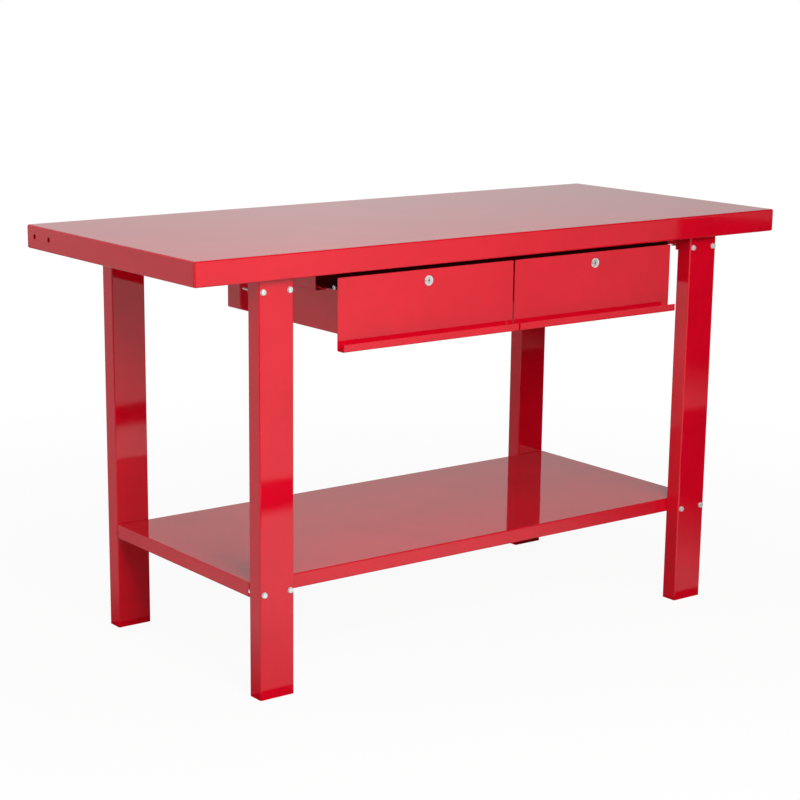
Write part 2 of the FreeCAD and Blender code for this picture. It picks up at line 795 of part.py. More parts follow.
drawer_pieces = {"drawer_front": make_drawer_front(), "drawer_body": make_drawer_body(),
                 "corner_brackets": make_corner_brackets(), "corner_bolts": make_corner_bolts(),
                 "corner_nuts": make_corner_nuts(), "drawer_glides": make_drawer_glides(),
                 "lock_barrel": make_lock_barrel(), "lock_nut": make_lock_nut(),
                 "lock_plug": make_lock_plug(), "lock_cam": make_lock_cam(),
                 "lock_screw": make_lock_screw()}
for side_name, middle in (("left", -drawer_middle), ("right", drawer_middle)):
    for piece, shape in drawer_pieces.items():
        export(side_name + "_" + piece, moved(shape, middle))
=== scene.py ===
import json
import math
import bpy
import bmesh
from mathutils import Matrix, Vector


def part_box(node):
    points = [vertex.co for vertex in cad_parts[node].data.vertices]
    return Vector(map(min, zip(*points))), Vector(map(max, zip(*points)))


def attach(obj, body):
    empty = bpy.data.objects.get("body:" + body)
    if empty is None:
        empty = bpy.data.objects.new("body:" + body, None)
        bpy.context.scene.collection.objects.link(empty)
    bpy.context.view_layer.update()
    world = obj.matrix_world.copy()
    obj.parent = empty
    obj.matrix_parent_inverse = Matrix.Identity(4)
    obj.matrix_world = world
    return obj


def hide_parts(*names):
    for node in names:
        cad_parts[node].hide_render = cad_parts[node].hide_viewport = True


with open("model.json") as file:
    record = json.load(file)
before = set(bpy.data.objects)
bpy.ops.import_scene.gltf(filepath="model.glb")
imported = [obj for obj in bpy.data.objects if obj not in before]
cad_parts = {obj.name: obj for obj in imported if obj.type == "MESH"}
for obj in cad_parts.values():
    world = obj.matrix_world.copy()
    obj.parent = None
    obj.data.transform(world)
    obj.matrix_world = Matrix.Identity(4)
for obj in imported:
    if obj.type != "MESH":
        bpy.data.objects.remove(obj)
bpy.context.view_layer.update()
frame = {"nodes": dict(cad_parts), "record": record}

bpy.context.scene.view_settings.view_transform = "Standard"
print("frame loaded with", len(frame["nodes"]), "nodes")

cameraSettings = {
    "place": (-2.6427, -3.3872, 1.3871),
    "turn": (76.2777, -0.4748, -36.5485),   # degrees, with a slight roll
    "lens": 91.37,
    "shiftX": 0.0360,
    "shiftY": 0.0757,
}


def makeCamera(s):
    data = bpy.data.cameras.new("camera")
    data.sensor_width = 36
    data.lens = s["lens"]
    data.shift_x = s["shiftX"]
    data.shift_y = s["shiftY"]
    data.clip_start = 0.1
    data.clip_end = 100
    camera = bpy.data.objects.new("camera", data)
    camera.location = s["place"]
    camera.rotation_euler = [math.radians(a) for a in s["turn"]]
    bpy.context.scene.collection.objects.link(camera)
    bpy.context.scene.camera = camera


makeCamera(cameraSettings)


class NodeSketch:
    # adds nodes to a shader or geometry tree and joins them with short calls

    def __init__(self, tree):
        self.tree = tree
        tree.nodes.clear()

    def add(self, kind, **values):
        node = self.tree.nodes.new(kind)
        for key, value in values.items():
            setattr(node, key, value)
        return node

    def join(self, source, target):
        self.tree.links.new(source, target)

    def feed(self, socket, value):
        # a value may be another node's output or a plain number
        if isinstance(value, bpy.types.NodeSocket):
            self.join(value, socket)
        else:
            socket.default_value = value

    def math(self, operation, *values):
        node = self.add("ShaderNodeMath", operation=operation)
        for socket, value in zip(node.inputs, values):
            self.feed(socket, value)
        return node.outputs[0]

    def split(self, vector):
        node = self.add("ShaderNodeSeparateXYZ")
        self.join(vector, node.inputs[0])
        return node.outputs

    def noise(self, place, scale, detail=2.0, rough=0.5):
        node = self.add("ShaderNodeTexNoise")
        node.inputs["Scale"].default_value = scale
        node.inputs["Detail"].default_value = detail
        node.inputs["Roughness"].default_value = rough
        self.join(place, node.inputs["Vector"])
        return node.outputs["Fac"]

    def spread(self, fac, low, high, fromLow=0.3, fromHigh=0.7):
        node = self.add("ShaderNodeMapRange")
        node.inputs["From Min"].default_value = fromLow
        node.inputs["From Max"].default_value = fromHigh
        node.inputs["To Min"].default_value = low
        node.inputs["To Max"].default_value = high
        self.join(fac, node.inputs["Value"])
        return node.outputs["Result"]

    def rise(self, value, start, end):
        return self.spread(value, 0.0, 1.0, start, end)

    def fall(self, value, start, end):
        return self.spread(value, 1.0, 0.0, start, end)

    def mix(self, fac, colourA, colourB):
        node = self.add("ShaderNodeMix", data_type="RGBA")
        self.feed(node.inputs[0], fac)
        for socket, colour in ((node.inputs[6], colourA), (node.inputs[7], colourB)):
            self.feed(socket, (*colour, 1) if isinstance(colour, tuple) else colour)
        return node.outputs[2]

    def choose(self, fac, valueA, valueB):
        node = self.add("ShaderNodeMix", data_type="FLOAT")
        self.feed(node.inputs[0], fac)
        self.feed(node.inputs[2], valueA)
        self.feed(node.inputs[3], valueB)
        return node.outputs[0]

    def bump(self, height, distance, normal=None):
        node = self.add("ShaderNodeBump")
        node.inputs["Distance"].default_value = distance
        self.join(height, node.inputs["Height"])
        if normal is not None:
            self.join(normal, node.inputs["Normal"])
        return node.outputs["Normal"]

    def edges(self, radius):
        # 0 on a flat face and rising within the radius of an edge
        rounded = self.add("ShaderNodeBevel", samples=4)
        rounded.inputs["Radius"].default_value = radius
        plain = self.add("ShaderNodeNewGeometry")
        both = self.add("ShaderNodeVectorMath", operation="DOT_PRODUCT")
        self.join(rounded.outputs["Normal"], both.inputs[0])
        self.join(plain.outputs["Normal"], both.inputs[1])
        starts, full = 0.995, 0.90   # cosines of the lean where an edge starts and is full
        return self.spread(both.outputs["Value"], 0.0, 1.0, starts, full)


paintSettings = {
    "colour": (0.70, 0.0022, 0.0175),
    "darker": (0.64, 0.0018, 0.0150),
    "thinEdge": (0.58, 0.0015, 0.0130),
    "chip": (0.42, 0.17, 0.15),
    "blotchScale": 11.0,
    "edgeWidth": 0.0016,
    "edgeThinning": 0.6,
    "chipScale": 140.0,
    "chipLow": 0.70,
    "chipHigh": 0.74,
    "roughLow": 0.030,
    "roughHigh": 0.065,
    "roughScale": 45.0,
    "edgeRough": 0.05,
    "peelScale": 520.0,
    "peelDepth": 0.0000012,
    "waveScale": 6.0,
    "waveDepth": 0.00022,
    "specular": 0.5,
}

# near-black paint on the parts behind the drawer fronts: painted shade, standing in for the deep shadow
# under the worktop
shadePrimerSettings = dict(paintSettings, colour=(0.024, 0.0007, 0.0018), darker=(0.016, 0.0005, 0.0013),
                      thinEdge=(0.014, 0.0006, 0.0012), chip=(0.05, 0.012, 0.012),
                      roughLow=0.45, roughHigh=0.60, specular=0.02)


def startFinish(name):
    # a material with its node sketch, the place on the piece and a shader to fill in
    material = bpy.data.materials.new(name)
    material.use_nodes = True
    n = NodeSketch(material.node_tree)
    place = n.add("ShaderNodeTexCoord").outputs["Object"]
    shader = n.add("ShaderNodeBsdfPrincipled")
    n.join(shader.outputs["BSDF"], n.add("ShaderNodeOutputMaterial").inputs["Surface"])
    return material, n, place, shader


def makePaint(name, s):
    material, n, place, shader = startFinish(name)
    shader.inputs["Specular IOR Level"].default_value = s["specular"]
    blotch = n.spread(n.noise(place, s["blotchScale"], detail=3.0), 0.0, 1.0)
    coat = n.mix(blotch, s["colour"], s["darker"])
    edge = n.edges(s["edgeWidth"])
    coat = n.mix(n.math("MULTIPLY", edge, s["edgeThinning"]), coat, s["thinEdge"])
    chips = n.spread(n.noise(place, s["chipScale"], detail=4.0), 0.0, 1.0, s["chipLow"], s["chipHigh"])
    n.join(n.mix(n.math("MULTIPLY", edge, chips), coat, s["chip"]), shader.inputs["Base Color"])
    rough = n.spread(n.noise(place, s["roughScale"], detail=4.0), s["roughLow"], s["roughHigh"])
    n.join(n.math("ADD", rough, n.math("MULTIPLY", edge, s["edgeRough"])), shader.inputs["Roughness"])
    wave = n.bump(n.noise(place, s["waveScale"], detail=1.0), s["waveDepth"])
    n.join(n.bump(n.noise(place, s["peelScale"], detail=2.0), s["peelDepth"], wave), shader.inputs["Normal"])
    return material


metalSettings = {
    "edgeWidth": 0.0004,
    "edgeShare": 0.5,
    "roughScale": 900.0,
    "grainScale": 2500.0,
}


def makeMetal(name, s):
    s = dict(metalSettings, **s)
    material, n, place, shader = startFinish(name)
    shader.inputs["Metallic"].default_value = s["metallic"]
    cloud = n.spread(n.noise(place, s["cloudScale"], detail=3.0), 0.0, 1.0)
    colour = n.mix(cloud, s["colour"], s["darker"])
    edge = n.math("MULTIPLY", n.edges(s["edgeWidth"]), s["edgeShare"])
    n.join(n.mix(edge, colour, s["rubbed"]), shader.inputs["Base Color"])
    rough = n.spread(n.noise(place, s["roughScale"], detail=3.0), s["roughLow"], s["roughHigh"])
    n.join(rough, shader.inputs["Roughness"])
    n.join(n.bump(n.noise(place, s["grainScale"], detail=2.0), s["grainDepth"]), shader.inputs["Normal"])
    return material


zincSettings = {
    "metallic": 0.55,
    "colour": (0.90, 0.95, 0.94),
    "darker": (0.62, 0.82, 0.77),
    "rubbed": (0.95, 0.97, 0.96),
    "cloudScale": 320.0,
    "roughLow": 0.22,
    "roughHigh": 0.36,
    "grainDepth": 0.00001,
}

lockFaceSettings = {
    "metallic": 0.65,
    "colour": (0.90, 0.89, 0.87),
    "darker": (0.74, 0.73, 0.70),
    "rubbed": (0.95, 0.94, 0.92),
    "cloudScale": 260.0,
    "roughLow": 0.10,
    "roughHigh": 0.22,
    "grainDepth": 0.000004,
}

plugSettings = {
    "metallic": 0.65,
    "colour": (0.80, 0.80, 0.76),
    "darker": (0.58, 0.58, 0.55),
    "rubbed": (0.80, 0.80, 0.77),
    "cloudScale": 380.0,
    "roughLow": 0.24,
    "roughHigh": 0.40,
    "grainDepth": 0.00001,
}

# near-black metal on the cut faces of the keyhole and the rim notch: painted shade in these recesses
recessShadeSettings = {
    "metallic": 1.0,
    "colour": (0.030, 0.028, 0.026),
    "darker": (0.012, 0.012, 0.012),
    "rubbed": (0.12, 0.11, 0.10),
    "cloudScale": 700.0,
    "roughLow": 0.50,
    "roughHigh": 0.65,
    "grainDepth": 0.00002,
}

plasticSettings = {
    "colour": (0.020, 0.020, 0.022),
    "lighter": (0.034, 0.034, 0.036),
    "mouldScale": 400.0,
    "roughLow": 0.40,
    "roughHigh": 0.55,
    "roughScale": 700.0,
    "grainScale": 3000.0,
    "grainDepth": 0.00002,
}


def makePlastic(name, s):
    material, n, place, shader = startFinish(name)
    mould = n.spread(n.noise(place, s["mouldScale"], detail=2.0), 0.0, 1.0)
    n.join(n.mix(mould, s["colour"], s["lighter"]), shader.inputs["Base Color"])
    rough = n.spread(n.noise(place, s["roughScale"], detail=2.0), s["roughLow"], s["roughHigh"])
    n.join(rough, shader.inputs["Roughness"])
    n.join(n.bump(n.noise(place, s["grainScale"], detail=2.0), s["grainDepth"]), shader.inputs["Normal"])
    return material


redPaint = makePaint("redPaint", paintSettings)
shadePrimer = makePaint("shadePrimer", shadePrimerSettings)
zinc = makeMetal("zincPlate", zincSettings)
lockChrome = makeMetal("lockFaceMetal", lockFaceSettings)
plugMetal = makeMetal("lockPlugMetal", plugSettings)
recessShade = makeMetal("recessShade", recessShadeSettings)
blackPlastic = makePlastic("blackPlastic", plasticSettings)
# the dark_primer slot takes the near-black painted-shade paint
slotFinish = {"red_paint": redPaint, "dark_primer": shadePrimer, "zinc": zinc,
              "lock_chrome": lockChrome, "black_plastic": blackPlastic}

for entry in frame["record"]["subparts"]:
    node = frame["nodes"][entry["node"]]
    node.data.materials.clear()
    node.data.materials.append(slotFinish[entry["material_slot"]])
print("finishes made")


def arc(centre, radius, start, end, steps):
    # points along part of a circle, angles in degrees
    points = []
    for i in range(steps + 1):
        a = math.radians(start + (end - start) * i / steps)
        points.append((centre[0] + radius * math.cos(a), centre[1] + radius * math.sin(a)))
    return points


def foldedOutline(runs, sheet, fold, steps):
    # the closed section of a folded sheet: its thickness lies to the left of the runs
    points = [Vector(p) for p in runs]
    normals = []
    for here, ahead in zip(points, points[1:]):
        run = (ahead - here).normalized()
        normals.append(Vector((-run.y, run.x)))
    near, far = [points[0]], [points[0] + normals[0] * sheet]
    for corner, before, after in zip(points[1:-1], normals, normals[1:]):
        left = before.x * after.y - before.y * after.x > 0
        lean = (before + after) / (1 + before.dot(after))
        centre = corner + lean * (fold + sheet) if left else corner - lean * fold
        nearSide = -(fold + sheet) if left else fold
        farSide = -fold if left else fold + sheet
        for i in range(steps + 1):
            way = before.slerp(after, i / steps)
            near.append(centre + way * nearSide)
            far.append(centre + way * farSide)
    near.append(points[-1])
    far.append(points[-1] + normals[-1] * sheet)
    return near + far[::-1]


def sweep(outline, axis, start, end):
    # a closed outline drawn out along an axis
    order = {"x": (2, 0, 1), "y": (0, 2, 1), "z": (0, 1, 2)}[axis]
    bm = bmesh.new()
    rings = []
    for along in (start, end):
        ring = []
        for p in outline:
            flat = (p[0], p[1], along)
            ring.append(bm.verts.new([flat[i] for i in order]))
        rings.append(ring)
    count = len(outline)
    for i in range(count):
        j = (i + 1) % count
        bm.faces.new((rings[0][i], rings[0][j], rings[1][j], rings[1][i]))
    bm.faces.new(rings[0])
    bm.faces.new(rings[1][::-1])
    bmesh.ops.recalc_face_normals(bm, faces=bm.faces)
    return bm


def addSpan(bm, cornerA, cornerB):
    # a box between any two opposite corners
    low = Vector([min(a, b) for a, b in zip(cornerA, cornerB)])
    high = Vector([max(a, b) for a, b in zip(cornerA, cornerB)])
    place = Matrix.Translation((low + high) / 2) @ Matrix.Diagonal((*(high - low), 1))
    bmesh.ops.create_cube(bm, size=1, matrix=place)


def addRod(bm, centre, direction, radius, length, sides=32):
    turn = Vector((0, 0, 1)).rotation_difference(Vector(direction)).to_matrix().to_4x4()
    bmesh.ops.create_cone(bm, cap_ends=True, segments=sides, radius1=radius, radius2=radius,
                          depth=length, matrix=Matrix.Translation(centre) @ turn)


def makePiece(name, bm, material):
    mesh = bpy.data.meshes.new(name)
    bm.to_mesh(mesh)
    bm.free()
    mesh.materials.append(material)
    piece = bpy.data.objects.new(name, mesh)
    bpy.context.scene.collection.objects.link(piece)
    return piece


def settle(piece):
    # applies the piece's modifiers and leaves a plain mesh
    evaluated = piece.evaluated_get(bpy.context.evaluated_depsgraph_get())
    mesh = bpy.data.meshes.new_from_object(evaluated)
    piece.modifiers.clear()
    old = piece.data
    piece.data = mesh
    mesh.name = piece.name
    bpy.data.meshes.remove(old)


def cutAway(piece, bm, material=None, operation="DIFFERENCE"):
    # takes the shapes in bm out of the piece; the cut faces may have their own material
    cutter = makePiece("cutter", bm, material or piece.data.materials[0])
    modifier = piece.modifiers.new("cut", "BOOLEAN")
    modifier.operation = operation
    modifier.object = cutter
    modifier.solver = "EXACT"
    modifier.material_mode = "TRANSFER"
    settle(piece)
    mesh = cutter.data
    bpy.data.objects.remove(cutter)
    bpy.data.meshes.remove(mesh)


def softEdges(piece, width, angle=50.0):
    # a small round on every sharp edge, and normals that keep the flats flat
    if width:
        bevel = piece.modifiers.new("soft", "BEVEL")
        bevel.width = width
        bevel.segments = 2
        bevel.limit_method = "ANGLE"
        bevel.angle_limit = math.radians(angle)
        bevel.use_clamp_overlap = True
        settle(piece)
    for polygon in piece.data.polygons:
        polygon.use_smooth = True
    piece.data.set_sharp_from_angle(angle=math.radians(angle))
    weigh = piece.modifiers.new("flats", "WEIGHTED_NORMAL")
    weigh.keep_sharp = True
    weigh.weight = 100
    settle(piece)


def panShell(low, high, s):
    # a folded pan, open below: one section led round all four sides with rounded corners
    sheet, fold, lip, steps = s["sheet"], s["fold"], s["lip"], s["steps"]
    top, bottom = high[2], low[2]
    section = arc((fold, top - fold), fold, 90, 180, steps)
    section += arc((fold, bottom + fold), fold, 180, 270, steps)
    section += [(lip, bottom), (lip, bottom + sheet)]
    inner = fold - sheet
    section += arc((fold, bottom + fold), inner, 270, 180, steps)
    section += arc((fold, top - fold), inner, 180, 90, steps)
    corners = ((1, 1, 0), (-1, 1, 90), (-1, -1, 180), (1, -1, 270))
    bm = bmesh.new()
    stations = []
    for sideX, sideY, start in corners:
        cornerX = high[0] if sideX > 0 else low[0]
        cornerY = high[1] if sideY > 0 else low[1]
        for i in range(steps + 1):
            a = math.radians(start + 90 * i / steps)
            ring = []
            for inset, z in section:
                if inset < fold:
                    x = cornerX - sideX * fold + (fold - inset) * math.cos(a)
                    y = cornerY - sideY * fold + (fold - inset) * math.sin(a)
                else:
                    x = cornerX - sideX * inset
                    y = cornerY - sideY * inset
                ring.append(bm.verts.new((x, y, z)))
            stations.append(ring)
    for here, ahead in zip(stations, stations[1:] + stations[:1]):
        for i in range(len(section) - 1):
            bm.faces.new((here[i], ahead[i], ahead[i + 1], here[i + 1]))
    bm.faces.new([ring[0] for ring in stations])
    bm.faces.new([ring[-1] for ring in reversed(stations)])
    bmesh.ops.remove_doubles(bm, verts=bm.verts, dist=1e-6)
    bmesh.ops.recalc_face_normals(bm, faces=bm.faces)
    return bm


def seamBoxes(bm, low, high, s):
    # the open seam beside each corner, through the flange and through the return
    reach = s["sheet"] * 1.5
    for sideX in (-1, 1):
        edgeX = high[0] if sideX > 0 else low[0]
        for sideY in (-1, 1):
            edgeY = high[1] if sideY > 0 else low[1]
            nearY = edgeY - sideY * s["fold"]
            farY = nearY - sideY * s["seam"]
            innerX = edgeX - sideX * s["lip"]
            addSpan(bm, (innerX - sideX * reach, nearY, low[2] - reach),
                    (edgeX + sideX * reach, farY, high[2] - s["fold"] - s["sheet"]))


worktopSettings = {
    "sheet": 0.002,
    "fold": 0.004,
    "lip": 0.018,
    "steps": 6,
    "seam": 0.0008,
    "holeRadius": 0.0055,
    "holeSpacing": 0.060,
    "holeRearInset": 0.0325,
    "holeDrop": 0.022,
    "edgeRound": 0.0003,
}


def makeWorktop(s):
    low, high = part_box("worktop")
    piece = makePiece("worktopPan", panShell(low, high, s), redPaint)
    cuts = bmesh.new()
    seamBoxes(cuts, low, high, s)
    for x in (low[0], high[0]):
        for back in (0, s["holeSpacing"]):
            centre = (x, high[1] - s["holeRearInset"] - back, high[2] - s["holeDrop"])
            addRod(cuts, centre, (1, 0, 0), s["holeRadius"], 4 * s["sheet"])
    cutAway(piece, cuts)
    softEdges(piece, s["edgeRound"])
    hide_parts("worktop")
    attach(piece, "bench")


makeWorktop(worktopSettings)

shelfSettings = {
    "sheet": 0.0015,
    "fold": 0.003,
    "lip": 0.011,
    "steps": 5,
    "seam": 0.0008,
    "notchWidth": 0.005,
    "notchLow": 0.009,
    "notchHigh": 0.017,
    "notchOverrun": 0.0005,
    "holeRadius": 0.0035,
    "edgeRound": 0.00025,
}


def solidBoxes(nodeName):
    # the lowest and highest corner of each loose solid in a CAD node
    bm = bmesh.new()
    bm.from_mesh(frame["nodes"][nodeName].data)
    bmesh.ops.remove_doubles(bm, verts=bm.verts, dist=1e-7)
    waiting = set(bm.verts)
    boxes = []
    while waiting:
        front = [waiting.pop()]
        places = []
        while front:
            vert = front.pop()
            places.append(vert.co.copy())
            for edge in vert.link_edges:
                other = edge.other_vert(vert)
                if other in waiting:
                    waiting.remove(other)
                    front.append(other)
        boxes.append((Vector([min(p[i] for p in places) for i in range(3)]),
                      Vector([max(p[i] for p in places) for i in range(3)])))
    bm.free()
    return sorted(boxes, key=lambda b: tuple(round(c, 5) for c in b[0]))


def makeShelf(s):
    low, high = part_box("shelf")
    piece = makePiece("shelfTray", panShell(low, high, s), redPaint)
    cuts = bmesh.new()
    seamBoxes(cuts, low, high, s)
    for boltLow, boltHigh in solidBoxes("shelf_bolts"):
        middle = (boltLow + boltHigh) / 2
        y = low[1] if middle.y < 0 else high[1]
        addRod(cuts, (middle.x, y, middle.z), (0, 1, 0), s["holeRadius"], 6 * s["sheet"])
    cutAway(piece, cuts)
    # the end flange starts a little way back beside each bolt
    notches = bmesh.new()
    for x, sideX in ((low[0], -1), (high[0], 1)):
        for y, sideY in ((low[1], -1), (high[1], 1)):
            addSpan(notches, (x + sideX * s["sheet"], y - sideY * s["notchOverrun"], low[2] + s["notchLow"]),
                    (x - sideX * s["sheet"] * 2, y - sideY * s["notchWidth"], low[2] + s["notchHigh"]))
    cutAway(piece, notches)
    softEdges(piece, s["edgeRound"])
    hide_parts("shelf")
    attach(piece, "bench")


makeShelf(shelfSettings)

legSettings = {
    "sheet": 0.002,
    "fold": 0.001,
    "lip": 0.020,
    "steps": 6,
    "holeRadius": 0.0035,
    "edgeRound": 0.0003,
}


def makeLeg(name, nodeName, s):
    # a lipped channel: closed towards the front, open at the back
    low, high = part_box(nodeName)
    runs = [(low[0] + s["lip"], high[1]), (low[0], high[1]), (low[0], low[1]),
            (high[0], low[1]), (high[0], high[1]), (high[0] - s["lip"], high[1])]
    outline = foldedOutline(runs, s["sheet"], s["fold"], s["steps"])
    piece = makePiece(name, sweep(outline, "z", low[2], high[2]), redPaint)
    cuts = bmesh.new()
    front = low[1] < 0
    for boltNode, through in (("top_bolts", front), ("shelf_bolts", True)):
        for boltLow, boltHigh in solidBoxes(boltNode):
            middle = (boltLow + boltHigh) / 2
            if not low[0] < middle.x < high[0] or (middle.y < 0) != front:
                continue
            y = (low[1] + high[1]) / 2 if through else high[1]
            depth = 2 * (high[1] - low[1]) if through else 6 * s["sheet"]
            addRod(cuts, (middle.x, y, middle.z), (0, 1, 0), s["holeRadius"], depth)
    cutAway(piece, cuts)
    softEdges(piece, s["edgeRound"])
    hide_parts(nodeName)
    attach(piece, "bench")


for name, nodeName in (("legFrontLeft", "leg_front_left"), ("legFrontRight", "leg_front_right"),
                       ("legRearLeft", "leg_rear_left"), ("legRearRight", "leg_rear_right")):
    makeLeg(name, nodeName, legSettings)
print("worktop, shelf and legs made")

drawerFrontSettings = {
    "sheet": 0.0015,
    "fold": 0.0015,
    "pullHeight": 0.015,
    "corner": 0.0025,
    "steps": 6,
    "holeSides": 48,
    "edgeRound": 0.00025,
}

lockSettings = {
    "barrelRadius": 0.008,
    "panelGap": 0.0001,
    "boreRadius": 0.00565,
    "headBore": 0.00635,
    "headDepth": 0.0023,
    # behind the face: first outward from the head bore, then inward from the rim
    "headLip": ((0.0, 0.0009), (0.0002, 0.00062)),
    "faceRing": ((0.0022, 0.00055), (0.0019, 0.00012), (0.0016, 0.0)),
    "rimRound": 0.0009,
    "rimSteps": 5,
    "faceRadius": 0.01025,
    "faceHeight": 0.0025,
    "threadStart": 0.003,
    "threadDepth": 0.0005,
    "threadPitch": 0.001,
    "endChamfer": 0.0003,
    "notchWidth": 0.0016,
    "notchLength": 0.0023,
    "notchDepth": 0.0011,
    "plugHead": 0.0063,
    "plugHeadLength": 0.0020,
    "plugRadius": 0.0056,
    # the dished face as (radius, depth), then its rim
    "plugFace": ((0.0, 0.0006), (0.0026, 0.0005), (0.0054, 0.0004)),
    "plugRim": ((0.0003, 0.00035), (0.0, 0.0006)),
    "keyholeRadius": 0.0017,
    "keyholeWidth": 0.0013,
    "keyholeHeight": 0.0076,
    "keyholeDepth": 0.0042,
    "keyholeStep": 0.0002,
    "square": 0.0065,
    "overrun": 0.001,
    "sides": 64,
    "sharpAngle": 38.0,
}


def makeDrawerFront(name, side, s):
    # a flat plate with a lip folded out and up along its bottom edge
    nodeName = side + "_drawer_front"
    low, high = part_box(nodeName)
    back = high[1]
    face = back - s["sheet"]
    runs = [(face, high[2]), (face, low[2] + s["sheet"]),
            (low[1] + s["sheet"], low[2] + s["sheet"]), (low[1] + s["sheet"], low[2] + s["pullHeight"])]
    outline = foldedOutline(runs, s["sheet"], s["fold"], s["steps"])
    piece = makePiece(name, sweep(outline, "x", low[0], high[0]), redPaint)
    r = s["corner"]
    blank = [(low[0], low[2] - r), (high[0], low[2] - r)]
    blank += arc((high[0] - r, high[2] - r), r, 0, 90, s["steps"])
    blank += arc((low[0] + r, high[2] - r), r, 90, 180, s["steps"])
    cutAway(piece, sweep(blank, "y", low[1] - r, back + r), operation="INTERSECT")
    lockLow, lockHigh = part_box(side + "_lock_plug")
    middle = (Vector(lockLow) + Vector(lockHigh)) / 2
    cuts = bmesh.new()
    hole = lockSettings["barrelRadius"] + lockSettings["panelGap"]
    addRod(cuts, (middle.x, face, middle.z), (0, 1, 0), hole, 6 * s["sheet"], s["holeSides"])
    cutAway(piece, cuts)
    softEdges(piece, s["edgeRound"])
    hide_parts(nodeName)
    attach(piece, side + "_drawer")


def turned(profile, centre, sides):
    # a section of (radius, place along y) turned about a line that faces the front
    bm = bmesh.new()
    rings = []
    for i in range(sides):
        a = 2 * math.pi * i / sides
        rings.append([bm.verts.new((centre[0] + r * math.cos(a), y, centre[1] + r * math.sin(a)))
                      for r, y in profile])
    closed = profile[0][0] > 0
    spans = len(profile) if closed else len(profile) - 1
    for here, ahead in zip(rings, rings[1:] + rings[:1]):
        for i in range(spans):
            j = (i + 1) % len(profile)
            bm.faces.new((here[i], ahead[i], ahead[j], here[j]))
    bmesh.ops.remove_doubles(bm, verts=bm.verts, dist=1e-7)
    bmesh.ops.recalc_face_normals(bm, faces=bm.faces)
    return bm


def makeBarrel(side, s, centre, face, rear):
    # the barrel stays on the drawer
    panel = face + s["faceHeight"]
    outer, bore, head = s["faceRadius"], s["boreRadius"], s["headBore"]
    rimRound, pitch, over = s["rimRound"], s["threadPitch"], s["overrun"]
    profile = [(head, face + s["headDepth"])]
    profile += [(head + out, face + depth) for out, depth in s["headLip"]]
    profile += [(outer - inset, face + depth) for inset, depth in s["faceRing"]]
    profile += arc((outer - rimRound, face + rimRound), rimRound, -90, 0, s["rimSteps"])
    profile += [(outer, panel), (s["barrelRadius"], panel)]
    y = panel + s["threadStart"]
    while y + pitch < rear:
        profile += [(s["barrelRadius"], y), (s["barrelRadius"] - s["threadDepth"], y + pitch / 2)]
        y += pitch
    profile += [(s["barrelRadius"], y), (s["barrelRadius"] - s["endChamfer"], rear), (bore, rear),
                (bore, face + s["headDepth"])]
    barrel = makePiece(side + "LockBarrel", turned(profile, centre, s["sides"]), lockChrome)
    notch = bmesh.new()
    half = s["notchWidth"] / 2
    addSpan(notch, (centre[0] - outer - over, face - over, centre[1] - half),
            (centre[0] - outer + s["notchLength"], face + s["notchDepth"], centre[1] + half))
    # the notch's cut faces take the painted-shade metal
    cutAway(barrel, notch, recessShade)
    softEdges(barrel, 0, s["sharpAngle"])
    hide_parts(side + "_lock_barrel")
    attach(barrel, side + "_drawer")


def makePlug(side, s, centre, face):
    # the plug turns with the cam on its square end
    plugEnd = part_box(side + "_lock_plug")[1][1]
    neck = face + s["plugHeadLength"]
    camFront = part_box(side + "_lock_cam")[0][1]
    rim, radius, over = s["plugHead"], s["plugRadius"], s["overrun"]
    profile = [(out, face + depth) for out, depth in s["plugFace"]]
    profile += [(rim - inset, face + depth) for inset, depth in s["plugRim"]]
    profile += [(rim, neck), (radius, neck), (radius, camFront), (0, camFront)]
    plug = makePiece(side + "LockPlug", turned(profile, centre, s["sides"]), plugMetal)
    square = bmesh.new()
    half = s["square"] / 2
    addSpan(square, (centre[0] - half, camFront - over, centre[1] - half),
            (centre[0] + half, plugEnd, centre[1] + half))
    cutAway(plug, square, plugMetal, "UNION")
    key = bmesh.new()
    depth, tall = s["keyholeDepth"], s["keyholeHeight"] / 2
    addRod(key, (centre[0], face + depth / 2, centre[1]), (0, 1, 0), s["keyholeRadius"], depth)
    # the keyhole's cut faces take the painted-shade metal
    cutAway(plug, key, recessShade)
    slot = bmesh.new()
    addSpan(slot, (centre[0] - s["keyholeWidth"] / 2, face - over, centre[1] - tall),
            (centre[0] + s["keyholeWidth"] / 2, face + depth - s["keyholeStep"], centre[1] + tall))
    cutAway(plug, slot, recessShade)
    softEdges(plug, 0, s["sharpAngle"])
    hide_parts(side + "_lock_plug")
    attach(plug, side + "_lock")


for side in ("left", "right"):
    makeDrawerFront(side + "DrawerFront", side, drawerFrontSettings)
    low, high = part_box(side + "_lock_barrel")
    centre = ((low[0] + high[0]) / 2, (low[2] + high[2]) / 2)
    makeBarrel(side, lockSettings, centre, low[1], high[1])
    makePlug(side, lockSettings, centre, low[1])
print("drawer fronts and locks made")


def namedInputs(tree, sizes):
    # group inputs for the sizes, in metres, and what each is called inside the modifier
    names = {}
    tree.interface.new_socket(name="points", in_out="INPUT", socket_type="NodeSocketGeometry")
    for name, value in sizes.items():
        kind = "NodeSocketInt" if isinstance(value, int) else "NodeSocketFloat"
        socket = tree.interface.new_socket(name=name, in_out="INPUT", socket_type=kind)
        socket.default_value = value
        names[name] = socket.identifier
    for name, kind in (("outward", "NodeSocketVector"), ("finish", "NodeSocketMaterial")):
        names[name] = tree.interface.new_socket(name=name, in_out="INPUT", socket_type=kind).identifier
    tree.interface.new_socket(name="mesh", in_out="OUTPUT", socket_type="NodeSocketGeometry")
    return names


